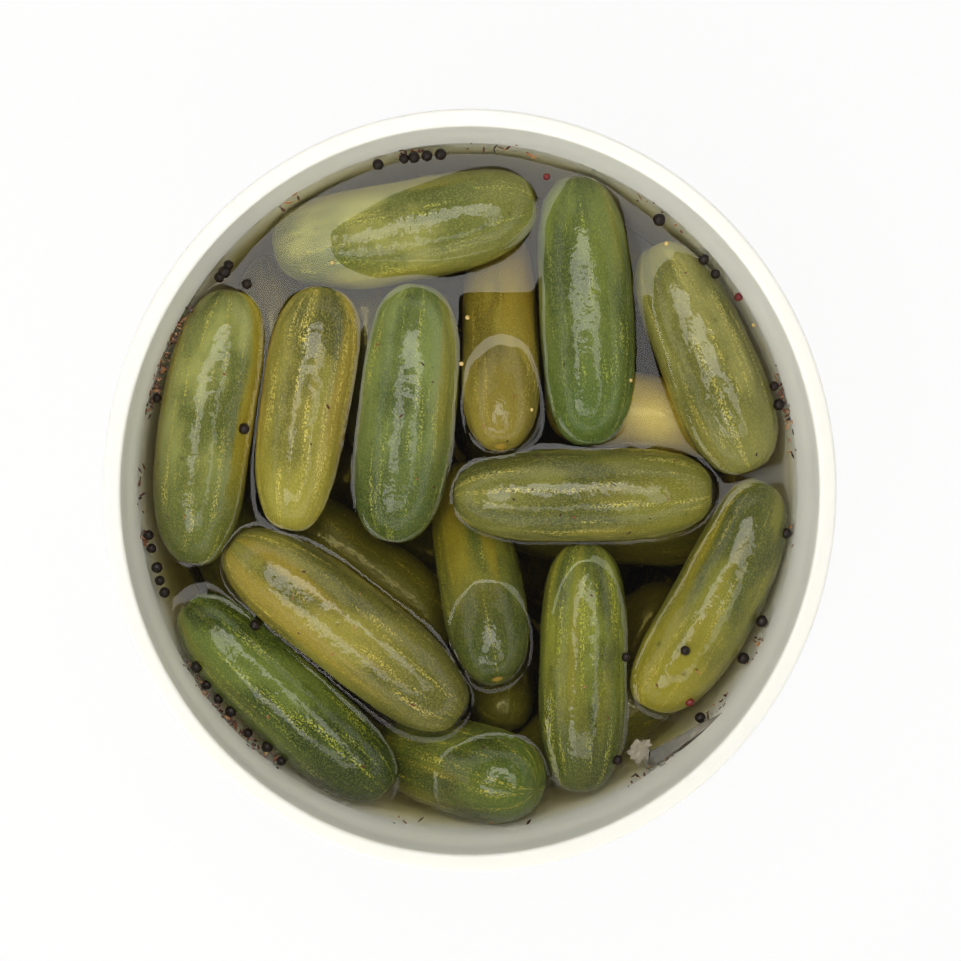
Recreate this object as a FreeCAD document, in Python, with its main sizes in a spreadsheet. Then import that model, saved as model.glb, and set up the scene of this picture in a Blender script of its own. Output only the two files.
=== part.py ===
import FreeCAD, Part
import math
import os

# A plastic tub of whole pickled gherkins, lying crowded at the top of their brine.
# Millimetres.  +Z is up, the origin is the middle of the tub's foot, X runs
# across the narrower way of the slightly oval mouth and Y along the wider way.

DOC = FreeCAD.newDocument("pickle_tub")
SHEET = DOC.addObject("Spreadsheet::Sheet", "sizes")

TUB_SIZES = {
    # Mouth and body
    "mouth_width": 282.0,     # inside the rim, along X
    "mouth_length": 294.0,    # inside the rim, along Y
    "tub_height": 200.0,
    "wall": 2.4,
    "floor_thickness": 2.6,
    "wall_taper": 4.2,        # how far the wall leans in from mouth to foot
    "foot_round": 7.0,        # outer edge of the foot
    "foot_ring": 14.0,        # from the foot's outer face to the edge of its recess
    "foot_recess": 1.6,
    # Rim
    "lip_overhang": 4.6,      # beyond the outer face of the wall
    "lip_thickness": 3.2,
    "lip_round": 1.3,
    "skirt_depth": 15.0,
    "skirt_wall": 1.8,
    "bead_drop": 30.0,        # top of the stacking bead below the rim
    "bead_height": 2.6,
    "bead_overhang": 3.6,
    "gusset_thickness": 1.6,
    # Filling
    "brine_drop": 38.0,       # brine below the rim
    "brine_gap": 0.2,         # brine to the plastic
    "skin_gap": 0.15,         # brine to a pickle's skin
    "pickle_gap": 0.8,        # pickle to pickle and pickle to wall
    "end_scar": 3.4,          # radius of the flat scar at each end of a pickle
}
GUSSETS = 24

# Each pickle: its length, its girth (the thickness in the middle), how much
# thicker its head is than its tail (taper), how far its middle bows to the left
# of its heading, the place of its middle, the height of its middle over the
# brine (level), the heading of its head from +X, and its pitch (head raised).
PICKLES = [
    dict(length=115, girth=43.5, taper=-0.04, bow=-3.0, x=-29.5, y=114, level=-16.5, heading=10, pitch=9),
    dict(length=117, girth=39.5, taper=-0.02, bow=-3.5, x=-109.2, y=27, level=-7, heading=-99, pitch=-1),
    dict(length=104, girth=37.5, taper=-0.14, bow=-1.5, x=-70.5, y=35, level=-7, heading=-99, pitch=2),
    dict(length=110, girth=41.5, taper=0.00, bow=1.0, x=-27, y=32.5, level=-9.5, heading=-96, pitch=1),
    dict(length=110, girth=34.0, taper=0.05, bow=0.0, x=13, y=66.5, level=-21.5, heading=-91, pitch=30),
    dict(length=115, girth=40, taper=0.00, bow=1.5, x=48, y=77, level=-9.5, heading=-87, pitch=2),
    dict(length=105, girth=40.5, taper=0.06, bow=1.5, x=100.8, y=56.5, level=-10.5, heading=-67, pitch=5),
    dict(length=110, girth=39, taper=0.02, bow=-0.5, x=48.3, y=-2.2, level=-5.5, heading=1, pitch=0),
    dict(length=109, girth=38, taper=0.04, bow=5.0, x=101.8, y=-46, level=-7.5, heading=-118, pitch=1),
    dict(length=108, girth=38, taper=0.02, bow=0.5, x=47.0, y=-79, level=-9.5, heading=-91, pitch=2),
    dict(length=106, girth=36.5, taper=0.04, bow=1.0, x=2.5, y=-36.5, level=-22.5, heading=-80, pitch=33),
    dict(length=122, girth=40.5, taper=0.02, bow=1.5, x=-53.8, y=-61.5, level=-2.5, heading=-38, pitch=0),
    dict(length=117, girth=37.5, taper=0.03, bow=-1.5, x=-78.5, y=-89.2, level=-10, heading=-43.5, pitch=0),
    dict(length=82, girth=41.5, taper=0.02, bow=-1.0, x=-5, y=-122.5, level=-15.5, heading=-11, pitch=36),
]
STATIONS = 11                 # sections along a pickle
BALLS = 19                    # balls that stand for a pickle while it settles
BALLS_INSET = 0.42            # of its girth, from its end to the last of them
SHOULDER_BALLS = 8
SHOULDER_RADIUS = 0.11        # of its girth
SHOULDER_INSET = 1.15         # of the small ball's radius, from the pickle's end
MOVES = 1000                  # rounds of rolling apart, at most
AT_REST = 0.01                # deepest touch left when they have settled
FULLNESS = 3.4                # how far a pickle keeps its girth before it rounds off


def add_sizes():
    """Write every driving size to the sheet, one row each, under its own name."""
    rows = dict(TUB_SIZES)
    for number, pickle in enumerate(PICKLES, 1):
        for name, value in pickle.items():
            rows[f"pickle_{number:02d}_{name}"] = value
    for row, (name, value) in enumerate(rows.items(), 1):
        SHEET.set(f"A{row}", name)
        SHEET.set(f"B{row}", str(value))
        SHEET.setAlias(f"B{row}", name)
    DOC.recompute()


def size(name):
    return float(SHEET.get(name))


def add(kind, name, **expressions):
    """Add an object whose sizes follow the sheet; __ in a keyword stands for a dot."""
    made = DOC.addObject(kind, name)
    for prop, expression in expressions.items():
        made.setExpression(prop.replace("__", "."), expression)
    return made


# ---------------------------------------------------------------- tub

def ellipse(name, grow, height):
    """An oval round the tub's axis, grown from the mouth's edge, at a height."""
    return add("Part::Ellipse", name,
               MajorRadius=f"max(sizes.mouth_length; sizes.mouth_width) / 2 + ({grow})",
               MinorRadius=f"min(sizes.mouth_length; sizes.mouth_width) / 2 + ({grow})",
               Placement__Base__z=height,
               Placement__Rotation__Angle="sizes.mouth_length < sizes.mouth_width ? 0 deg : 90 deg")


def loft(name, sections):
    made = DOC.addObject("Part::Loft", name)
    made.Sections = sections
    made.Solid = True
    made.Ruled = len(sections) == 2
    return made


def ring(name, inner, outer, low, high):
    """A straight oval ring between two growths and two heights."""
    shapes = []
    for side, grow, reach in (("outer", outer, "0"), ("inner", inner, "1")):
        solid = add("Part::Extrusion", f"{name}_{side}_solid",
                    Placement__Base__z=f"-({reach})",
                    LengthFwd=f"({high}) - ({low}) + 2 * ({reach})")
        solid.Base = ellipse(f"{name}_{side}", grow, low)
        solid.DirMode = "Custom"
        solid.Dir = FreeCAD.Vector(0, 0, 1)
        solid.Solid = True
        shapes.append(solid)
    made = DOC.addObject("Part::Cut", name)
    made.Base, made.Tool = shapes
    return made


def inner_lean(height):
    """Growth of the wall's inner face at a height: it leans in towards the foot."""
    return f"-sizes.wall_taper * (sizes.tub_height - ({height})) / sizes.tub_height"


def edges_at(shape, test):
    """Numbers of the edges whose bounding box passes a test."""
    return [n for n, edge in enumerate(shape.Edges, 1) if test(edge.BoundBox)]


def make_tub():
    body = loft("tub_body", [
        ellipse("body_foot", f"{inner_lean('0')} + sizes.wall", "0"),
        ellipse("body_top", "sizes.wall", "sizes.tub_height")])
    DOC.recompute()
    body_round = DOC.addObject("Part::Fillet", "tub_body_round")
    body_round.Base = body
    body_round.Edges = [(n, size("foot_round"), size("foot_round"))
                        for n in edges_at(body.Shape, lambda box: box.ZMax < 1)]

    lip = ring("lip", "0.5 * sizes.wall", "sizes.wall + sizes.lip_overhang",
               "sizes.tub_height - sizes.lip_thickness", "sizes.tub_height")
    skirt = ring("skirt", "sizes.wall + sizes.lip_overhang - sizes.skirt_wall",
                 "sizes.wall + sizes.lip_overhang",
                 "sizes.tub_height - sizes.skirt_depth",
                 "sizes.tub_height - sizes.lip_thickness / 2")
    bead = ring("bead", f"{inner_lean('sizes.tub_height - sizes.bead_drop')} + 0.5 * sizes.wall",
                "sizes.wall + sizes.bead_overhang",
                "sizes.tub_height - sizes.bead_drop - sizes.bead_height",
                "sizes.tub_height - sizes.bead_drop")
    whole = DOC.addObject("Part::MultiFuse", "tub_outside")
    whole.Shapes = [body_round, lip, skirt, bead] + make_gussets()
    whole.Refine = True

    cavity = make_cavity("tub_inside", "0", "sizes.floor_thickness", "sizes.tub_height + 1")
    recess = plug("foot_recess_cut",
                       f"{inner_lean('0')} + sizes.wall - sizes.foot_ring",
                       "-1", "sizes.foot_recess")
    hollow = DOC.addObject("Part::Cut", "tub_hollow")
    hollow.Base, hollow.Tool = whole, cavity
    sharp = DOC.addObject("Part::Cut", "tub_sharp")
    sharp.Base, sharp.Tool = hollow, recess
    DOC.recompute()
    tub = DOC.addObject("Part::Fillet", "tub")
    tub.Base = sharp
    top = size("tub_height")
    tub.Edges = [(n, size("lip_round"), size("lip_round"))
                 for n in edges_at(sharp.Shape, lambda box: box.ZMin > top - 0.01)]
    tub.Label = "tub"
    return tub


def make_gussets():
    """Small upright webs that tie the rim's skirt to the wall, evenly spaced."""
    gussets = []
    for number in range(GUSSETS):
        turn = 360.0 * (number + 0.5) / GUSSETS
        angle = f"{turn} deg"
        web = add("Part::Box", f"gusset_{number + 1:02d}",
                  Length="sizes.lip_overhang + sizes.wall / 2 - sizes.skirt_wall / 2",
                  Width="sizes.gusset_thickness",
                  Height="sizes.skirt_depth - sizes.lip_thickness",
                  Placement__Base__x=f"cos({angle}) * (sizes.mouth_width / 2 + sizes.wall / 2)"
                                     f" + sin({angle}) * sizes.gusset_thickness / 2",
                  Placement__Base__y=f"sin({angle}) * (sizes.mouth_length / 2 + sizes.wall / 2)"
                                     f" - cos({angle}) * sizes.gusset_thickness / 2",
                  Placement__Base__z="sizes.tub_height - sizes.skirt_depth + sizes.lip_thickness / 2",
                  Placement__Rotation__Angle=angle)
        gussets.append(web)
    return gussets


def plug(name, grow, low, high):
    """A straight oval plug."""
    made = add("Part::Extrusion", name, LengthFwd=f"({high}) - ({low})")
    made.Base = ellipse(f"{name}_oval", grow, low)
    made.DirMode = "Custom"
    made.Dir = FreeCAD.Vector(0, 0, 1)
    made.Solid = True
    return made


def make_cavity(name, shrink, low, high):
    """The space inside the leaning wall between two heights, shrunk all round."""
    return loft(name, [
        ellipse(f"{name}_low", f"{inner_lean(low)} - ({shrink})", low),
        ellipse(f"{name}_high", f"{inner_lean(high)} - ({shrink})", high)])


# ---------------------------------------------------------------- pickles

def fullness(place):
    """Thickness of a pickle at a place from -1 (tail) to 1 (head), as a share."""
    return max(0.0, 1 - abs(place) ** FULLNESS) ** 0.5


def places():
    """Stations from tail to head, closer together where the ends round off."""
    return [-math.cos(math.pi * n / (STATIONS - 1)) for n in range(STATIONS)]


def make_pickle(number, grow):
    """One pickle lying along its own X axis, or, grown, the hole it leaves in the brine."""
    node = f"pickle_{number:02d}"
    name = f"{node}_hole" if grow != "0" else node
    sections = []
    for station, place in enumerate(places(), 1):
        share = fullness(place) * (1 + PICKLES[number - 1]["taper"] * place)
        circle = add("Part::Circle", f"{name}_section_{station:02d}",
                     Radius=f"sizes.end_scar + (sizes.{node}_girth / 2 - sizes.end_scar)"
                            f" * {share:.6f} + ({grow})",
                     Placement__Base__x=f"(sizes.{node}_length / 2 + ({grow})) * {place:.6f}",
                     Placement__Base__y=f"sizes.{node}_bow * {1 - place * place:.6f}")
        circle.Placement.Rotation = FreeCAD.Rotation(FreeCAD.Vector(0, 1, 0), 90)
        sections.append(circle)
    made = loft(name, sections)
    made.Label = name
    return made


class Lie:
    """Where one pickle lies: its place, its direction and the balls that fill it."""

    def __init__(self, number):
        self.node = f"pickle_{number:02d}"
        self.taper = PICKLES[number - 1]["taper"]
        self.half = size(f"{self.node}_length") / 2
        self.girth = size(f"{self.node}_girth")
        self.bow = size(f"{self.node}_bow")
        self.turn = FreeCAD.Rotation(size(f"{self.node}_heading"), -size(f"{self.node}_pitch"), 0)
        self.middle = FreeCAD.Vector(
            size(f"{self.node}_x"), size(f"{self.node}_y"),
            size("tub_height") - size("brine_drop") + size(f"{self.node}_level"))
        self.balls = self.core_balls() + self.shoulder_balls()

    def thickness(self, along):
        place = along / self.half
        scar = size("end_scar")
        return scar + (self.girth / 2 - scar) * fullness(place) * (1 + self.taper * place)

    def ball(self, along, out, angle, radius):
        """A ball beside the bowed axis, as its offset from the middle and its radius."""
        side = self.bow * (1 - (along / self.half) ** 2)
        local = FreeCAD.Vector(along, side + out * math.cos(angle), out * math.sin(angle))
        return self.turn.multVec(local), radius

    def core_balls(self):
        """A row of balls on the axis, as fat as the pickle."""
        reach = self.half - BALLS_INSET * self.girth
        row = [reach * (2 * n / (BALLS - 1) - 1) for n in range(BALLS)]
        return [self.ball(along, 0, 0, min(self.thickness(along), self.half - abs(along)))
                for along in row]

    def shoulder_balls(self):
        """A ring of small balls in each blunt end."""
        radius = SHOULDER_RADIUS * self.girth
        along = self.half - SHOULDER_INSET * radius
        return [self.ball(end * along, self.thickness(end * along) - radius,
                          2 * math.pi * n / SHOULDER_BALLS, radius)
                for end in (-1, 1) for n in range(SHOULDER_BALLS)]

    def placement(self):
        return FreeCAD.Placement(self.middle, self.turn)


def push_apart(one, other, gap):
    """Roll two pickles apart along the line of their deepest touch; return its depth."""
    if (one.middle - other.middle).Length > one.half + other.half:
        return 0.0
    deepest, line = 0.0, None
    for first, first_radius in one.balls:
        for second, second_radius in other.balls:
            between = other.middle + second - one.middle - first
            depth = first_radius + second_radius + gap - between.Length
            if depth > deepest:
                deepest, line = depth, between
    if line is not None:
        line.normalize()
        one.middle = one.middle - line * (deepest / 2)
        other.middle = other.middle + line * (deepest / 2)
    return deepest


def push_inside(lie, gap):
    """Roll a pickle off the leaning wall; return how deep it stood in it."""
    deepest, line = 0.0, None
    for offset, radius in lie.balls:
        ball = lie.middle + offset
        lean = size("wall_taper") * (1 - ball.z / size("tub_height"))
        across = size("mouth_width") / 2 - lean - radius - gap
        along = size("mouth_length") / 2 - lean - radius - gap
        out = math.hypot(ball.x / across, ball.y / along)
        depth = (out - 1) * min(across, along)
        if depth > deepest:
            deepest, line = depth, FreeCAD.Vector(ball.x / across, ball.y / along, 0)
    if line is not None:
        line.normalize()
        lie.middle = lie.middle - line * deepest
    return deepest


def settle(lies):
    """Roll pickles apart until none presses into another or into the wall."""
    gap = size("pickle_gap")
    for _ in range(MOVES):
        worst = 0.0
        for index, one in enumerate(lies):
            for other in lies[index + 1:]:
                worst = max(worst, push_apart(one, other, gap))
            worst = max(worst, push_inside(one, gap))
        if worst < AT_REST:
            break
    return lies


def make_filling():
    """The pickles as they lie, and the brine round them up to its level."""
    level = "sizes.tub_height - sizes.brine_drop"
    low = "sizes.floor_thickness + sizes.brine_gap"
    pool = make_cavity("pool", "sizes.brine_gap", low, level)
    pickles = []
    holes = []
    for number, lie in enumerate(settle([Lie(n) for n in range(1, len(PICKLES) + 1)]), 1):
        pickle = make_pickle(number, "0")
        hole = make_pickle(number, "sizes.skin_gap")
        pickle.Placement = lie.placement()
        hole.Placement = lie.placement()
        pickles.append(pickle)
        holes.append(hole)
    brine = pool
    for number, hole in enumerate(holes, 1):
        cut = DOC.addObject("Part::Cut", f"brine_cut_{number:02d}")
        cut.Base, cut.Tool = brine, hole
        brine = cut
    brine.Label = "brine"
    return [brine] + pickles


# ---------------------------------------------------------------- output

def check(objects):
    """Stop if any object failed or any sub-part isn't one sound solid."""
    DOC.recompute()
    for made in DOC.Objects:
        if "Invalid" in made.State or "Error" in made.State:
            raise RuntimeError(f"{made.Name} failed: {made.State}")
    for node in objects:
        shape = node.Shape
        if shape.isNull() or not shape.isValid() or len(shape.Solids) != 1:
            raise RuntimeError(f"{node.Label} isn't one valid solid")


def main():
    add_sizes()
    nodes = [make_tub()] + make_filling()
    check(nodes)
    os.makedirs("parts", exist_ok=True)
    for node in nodes:
        node.Shape.exportStep(os.path.join("parts", f"{node.Label}.step"))
        centre = node.Shape.Solids[0].CenterOfMass
        print(f"{node.Label}: {node.Shape.Volume / 1000:.1f} cm3 at "
              f"{centre.x:.1f} {centre.y:.1f} {centre.z:.1f}")


main()
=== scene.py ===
import math
import random

import bmesh
import bpy
import numpy as np
from mathutils import Matrix, Vector, noise
from mathutils.bvhtree import BVHTree


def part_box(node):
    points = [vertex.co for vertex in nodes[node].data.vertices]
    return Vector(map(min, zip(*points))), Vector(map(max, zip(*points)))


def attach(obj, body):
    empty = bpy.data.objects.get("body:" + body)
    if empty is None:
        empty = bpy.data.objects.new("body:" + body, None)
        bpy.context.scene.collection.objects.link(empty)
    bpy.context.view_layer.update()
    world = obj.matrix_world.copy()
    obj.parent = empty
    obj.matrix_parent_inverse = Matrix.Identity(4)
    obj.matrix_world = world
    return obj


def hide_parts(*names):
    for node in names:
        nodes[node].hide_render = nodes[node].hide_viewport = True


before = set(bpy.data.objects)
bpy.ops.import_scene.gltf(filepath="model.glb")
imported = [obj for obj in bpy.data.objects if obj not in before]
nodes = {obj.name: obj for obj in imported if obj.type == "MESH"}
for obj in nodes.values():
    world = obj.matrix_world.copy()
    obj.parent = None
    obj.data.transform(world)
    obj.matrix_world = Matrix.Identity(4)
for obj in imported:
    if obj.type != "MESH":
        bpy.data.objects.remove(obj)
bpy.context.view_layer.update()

MM = 0.001


# ------------------------------------------------------------------ camera
# The tub is looked into from almost straight above, a little to its back left.

_, tub_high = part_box("tub")
brine_low, brine_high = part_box("brine")
rim = tub_high.z
level = brine_high.z

camera_foot = Vector((-19.7 * MM, 32.9 * MM, level))
camera_height = 690 * MM
camera_data = bpy.data.cameras.new("camera")
camera_data.sensor_width = 36.0
camera_data.lens = 60.8
camera = bpy.data.objects.new("camera", camera_data)
camera.location = camera_foot + Vector((0, 0, camera_height))
look_at = Vector((3.2 * MM, 5.5 * MM, rim))
ahead = (look_at - camera.location).normalized()
right = ahead.cross(Vector((0, 1, 0))).normalized()
camera.rotation_euler = Matrix((right, right.cross(ahead), -ahead)).transposed().to_euler()
bpy.context.collection.objects.link(camera)
bpy.context.scene.camera = camera


# ------------------------------------------------------------------ tub
# A catering tub, injection moulded in one piece from white high-density
# polyethylene.  It has a satin skin with a faint orange peel, and is scuffed
# a little where lids and other tubs have rubbed on its rim and bead.

def linear(hex_colour):
    """An sRGB hex colour as the linear values that a shader takes."""
    parts = [int(hex_colour[n:n + 2], 16) / 255 for n in (1, 3, 5)]
    return [p / 12.92 if p <= 0.04045 else ((p + 0.055) / 1.055) ** 2.4 for p in parts] + [1.0]


def add_node(tree, kind, inputs=(), **settings):
    """Add a shader node, set its options, and set or link its inputs by name or number."""
    made = tree.nodes.new(kind)
    for name, value in settings.items():
        setattr(made, name, value)
    for name, value in dict(inputs).items():
        socket = made.inputs[name]
        if isinstance(value, bpy.types.NodeSocket):
            tree.links.new(value, socket)
        else:
            socket.default_value = value
    return made


def mix_colours(tree, mix, share, first, second):
    """Feed a colour mix node: its share, and two colours given as links or as hex."""
    for socket, value in (("Factor", share), ("A", first), ("B", second)):
        if isinstance(value, str):
            mix.inputs[socket].default_value = linear(value)
        else:
            tree.links.new(value, mix.inputs[socket])


def new_material(name):
    made = bpy.data.materials.new(name)
    made.use_nodes = True
    made.node_tree.nodes.clear()
    return made, made.node_tree


def output(tree, surface, volume=None):
    out = add_node(tree, "ShaderNodeOutputMaterial", {"Surface": surface})
    if volume is not None:
        tree.links.new(volume, out.inputs["Volume"])


def finish_in(piece, material):
    piece.data.materials.clear()
    piece.data.materials.append(material)


# Milky and waxy: light that falls on the outside comes through, so that the walls
# glow softly and have no hard corners; the moulded skin gives a broad, dull shine.
polyethylene, tree = new_material("moulded_white_polyethylene")
place = add_node(tree, "ShaderNodeTexCoord").outputs["Object"]
clouding = add_node(tree, "ShaderNodeTexNoise", {"Vector": place, "Scale": 1 / (40 * MM), "Detail": 3.0})
cast = add_node(tree, "ShaderNodeMix", data_type="RGBA")
mix_colours(tree, cast, clouding.outputs["Fac"], "#ECEBE3", "#E8E7DC")
peel = add_node(tree, "ShaderNodeTexNoise", {"Vector": place, "Scale": 1 / (1.6 * MM), "Detail": 2.0})
scuffs = add_node(tree, "ShaderNodeTexNoise", {"Vector": place, "Scale": 1 / (9 * MM), "Detail": 6.0,
                                               "Roughness": 0.7})
rough = add_node(tree, "ShaderNodeMapRange", {"Value": scuffs.outputs["Fac"], "From Min": 0.35,
                                              "From Max": 0.7, "To Min": 0.36, "To Max": 0.52})
skin = add_node(tree, "ShaderNodeBump", {"Height": peel.outputs["Fac"], "Strength": 0.05,
                                         "Distance": 0.2 * MM})
plastic = add_node(tree, "ShaderNodeBsdfPrincipled", {
    "Base Color": cast.outputs["Result"], "Roughness": rough.outputs["Result"], "IOR": 1.54,
    "Subsurface Weight": 0.7, "Subsurface Radius": (1.0, 0.97, 0.86), "Subsurface Scale": 6 * MM,
    "Normal": skin.outputs["Normal"]})
output(tree, plastic.outputs["BSDF"])
finish_in(nodes["tub"], polyethylene)


# ------------------------------------------------------------------ floating pickles
# Whole gherkins, cured in brine: blunt, a little three-sided, with a taut wet
# skin, faint ribs along it and a scatter of flat warts.  Paler streaks made of
# fine flecks run from end to end, and each one has its own cast of green.

GRID = 0.8 * MM               # of the even mesh that each pickle is redrawn in
GIRTH_RADIUS = 18 * MM        # of the tube that the skin's pattern is wrapped on
TOE_START = 22 * MM           # where a skin starts to take the cast of its head end
TOE_END = 62 * MM
FLECK_LONG = 0.85 * MM
FLECK_WIDE = 0.6 * MM
FILM_GRAIN = 4.4 * MM
WARTS = 34
HIGHEST = 0.38 * MM           # that any of it may stand out of the solid

# The way each head points, how far it is crinkled, and its colours: the deep
# green between the streaks, the paler green of its flanks, the olive yellow of
# its belly, the bright flecks and the cast of its head end; and how much of
# the skin the yellow and the streaks take.
FLOATING = {
    "pickle_01": dict(heading=10, crinkle=0.1, deep="#515925", pale="#8B8A49", belly="#7C762A",
                      flecks="#BBB759", yellowness=0.5, streaks=0.5, toe="#626732"),
    "pickle_02": dict(heading=-99, crinkle=0.0, deep="#505928", pale="#8B904F", belly="#92801F",
                      flecks="#C0B351", yellowness=0.5, streaks=0.5, toe="#495625"),
    "pickle_03": dict(heading=-99, crinkle=0.1, deep="#4C4F26", pale="#817D38", belly="#948236",
                      flecks="#DAC864", yellowness=0.6, streaks=0.65, toe="#969037"),
    "pickle_04": dict(heading=-96, crinkle=0.2, deep="#3F4D26", pale="#707E45", belly="#837E38",
                      flecks="#B0AF4F", yellowness=0.3, streaks=0.55, toe="#394921"),
    "pickle_05": dict(heading=-91, crinkle=0.1, deep="#554D1B", pale="#786E2C", belly="#806E28",
                      flecks="#BBA84F", yellowness=0.5, streaks=0.5, toe="#7F722C"),
    "pickle_06": dict(heading=-87, crinkle=0.1, deep="#3F4B24", pale="#626D31", belly="#74742F",
                      flecks="#A6AB4B", yellowness=0.3, streaks=0.55, toe="#4A5E2A"),
    "pickle_07": dict(heading=-67, crinkle=1.0, deep="#545724", pale="#848245", belly="#857A30",
                      flecks="#B9AD57", yellowness=0.4, streaks=0.6, toe="#74743B"),
    "pickle_08": dict(heading=1, crinkle=0.2, deep="#4C5124", pale="#727234", belly="#7E762E",
                      flecks="#C2B55C", yellowness=0.4, streaks=0.55, toe="#6D6D2A"),
    "pickle_09": dict(heading=-118, crinkle=0.1, deep="#444C24", pale="#73742E", belly="#857A1E",
                      flecks="#AFA045", yellowness=0.35, streaks=0.5, toe="#877F25"),
    "pickle_10": dict(heading=-91, crinkle=0.2, deep="#3B4420", pale="#6D742E", belly="#7D782A",
                      flecks="#AEAC40", yellowness=0.3, streaks=0.65, toe="#343F1D"),
    "pickle_11": dict(heading=-80, crinkle=0.1, deep="#414C24", pale="#6D6C2C", belly="#776C22",
                      flecks="#A59E3E", yellowness=0.45, streaks=0.5, toe="#2F3E1D"),
    "pickle_12": dict(heading=-38, crinkle=0.2, deep="#515324", pale="#858036", belly="#8E7D2C",
                      flecks="#CCB957", yellowness=0.5, streaks=0.5, toe="#505327"),
    "pickle_13": dict(heading=-43.5, crinkle=0.15, deep="#2A3914", pale="#5C6B2E", belly="#75742A",
                      flecks="#ACAF3C", yellowness=0.25, streaks=0.6, toe="#243118"),
    "pickle_14": dict(heading=-11, crinkle=0.1, deep="#33401D", pale="#5F672A", belly="#6C6624",
                      flecks="#B2A63E", yellowness=0.3, streaks=0.55, toe="#465C21"),
}


# The colour of a skin runs along it: cloudy deep and pale green, yellow where it
# lay on the ground, streaks of fine bright flecks, dark dots at the warts.  Over
# it lies a thin wet film of its own unevenness, whose sharp shine breaks into
# bright, ragged patches, while the skin under it hardly shines.
def pickle_skin(name, look, seed):
    """The wet skin of one cured gherkin."""
    material, tree = new_material(name)
    skin_place = add_node(tree, "ShaderNodeAttribute", attribute_name="skin").outputs["Vector"]
    along = add_node(tree, "ShaderNodeMapping", {
        "Vector": skin_place, "Location": (seed * 0.37, seed * 0.11, seed * 0.23),
        "Scale": (1 / (75 * MM), 1 / (8 * MM), 1 / (8 * MM))}).outputs["Vector"]
    blotch_place = add_node(tree, "ShaderNodeMapping", {
        "Vector": skin_place, "Location": (seed * 0.7, 0.0, 0.0),
        "Scale": (1 / (42 * MM), 1 / (17 * MM), 1 / (17 * MM))}).outputs["Vector"]
    flank = add_node(tree, "ShaderNodeTexNoise", {"Vector": blotch_place, "Scale": 1.0, "Detail": 3.0,
                                                  "Roughness": 0.55}).outputs["Fac"]
    flank_share = add_node(tree, "ShaderNodeMapRange", {
        "Value": flank, "From Min": 0.36, "From Max": 0.64}, interpolation_type="SMOOTHSTEP")
    body = add_node(tree, "ShaderNodeMix", data_type="RGBA")
    mix_colours(tree, body, flank_share.outputs["Result"], look["deep"], look["pale"])

    belly = add_node(tree, "ShaderNodeTexNoise", {"Vector": along, "Scale": 0.55, "Detail": 2.0,
                                                  "Roughness": 0.5}).outputs["Fac"]
    edge = 0.68 - 0.3 * look["yellowness"]
    belly_share = add_node(tree, "ShaderNodeMapRange", {
        "Value": belly, "From Min": edge - 0.06, "From Max": edge + 0.12, "To Max": 0.85},
        interpolation_type="SMOOTHSTEP")
    yellowed = add_node(tree, "ShaderNodeMix", data_type="RGBA")
    mix_colours(tree, yellowed, belly_share.outputs["Result"], body.outputs["Result"], look["belly"])

    wander = add_node(tree, "ShaderNodeMath", {0: flank, 1: 40 * MM}, operation="MULTIPLY")
    place_along = add_node(tree, "ShaderNodeSeparateXYZ", {"Vector": skin_place}).outputs["X"]
    place_along = add_node(tree, "ShaderNodeMath", {0: place_along, 1: wander.outputs[0]}, operation="ADD")
    toe_share = add_node(tree, "ShaderNodeMapRange", {
        "Value": place_along.outputs[0], "From Min": TOE_START, "From Max": TOE_END, "To Max": 0.8},
        interpolation_type="SMOOTHSTEP")
    toed = add_node(tree, "ShaderNodeMix", data_type="RGBA")
    mix_colours(tree, toed, toe_share.outputs["Result"], yellowed.outputs["Result"], look["toe"])

    stripe = add_node(tree, "ShaderNodeTexNoise", {"Vector": along, "Scale": 1.9, "Detail": 2.0,
                                                   "Roughness": 0.6}).outputs["Fac"]
    edge = 0.66 - 0.22 * look["streaks"]
    stripe_share = add_node(tree, "ShaderNodeMapRange", {
        "Value": stripe, "From Min": edge, "From Max": edge + 0.14}, interpolation_type="SMOOTHSTEP")
    fleck_place = add_node(tree, "ShaderNodeMapping", {
        "Vector": skin_place, "Scale": (1 / FLECK_LONG, 1 / FLECK_WIDE, 1 / FLECK_WIDE)})
    flecks = add_node(tree, "ShaderNodeTexNoise", {
        "Vector": fleck_place.outputs["Vector"], "Scale": 1.0, "Detail": 1.0, "Roughness": 0.6})
    fleck_share = add_node(tree, "ShaderNodeMapRange", {
        "Value": flecks.outputs["Fac"], "From Min": 0.45, "From Max": 0.68}).outputs["Result"]
    banded = add_node(tree, "ShaderNodeMapRange", {"Value": stripe_share.outputs["Result"],
                                                   "To Min": 0.22, "To Max": 1.0})
    shown = add_node(tree, "ShaderNodeMath", {0: banded.outputs["Result"], 1: fleck_share},
                     operation="MULTIPLY")
    flecked = add_node(tree, "ShaderNodeMix", data_type="RGBA")
    mix_colours(tree, flecked, shown.outputs[0], toed.outputs["Result"], look["flecks"])

    wart = add_node(tree, "ShaderNodeAttribute", attribute_name="wart").outputs["Fac"]
    spotted = add_node(tree, "ShaderNodeMix", data_type="RGBA")
    mix_colours(tree, spotted, wart, flecked.outputs["Result"], "#3B3F1C")
    scar = add_node(tree, "ShaderNodeAttribute", attribute_name="scar").outputs["Fac"]
    scarred = add_node(tree, "ShaderNodeMix", data_type="RGBA")
    mix_colours(tree, scarred, scar, spotted.outputs["Result"], "#B8963C")

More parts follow.
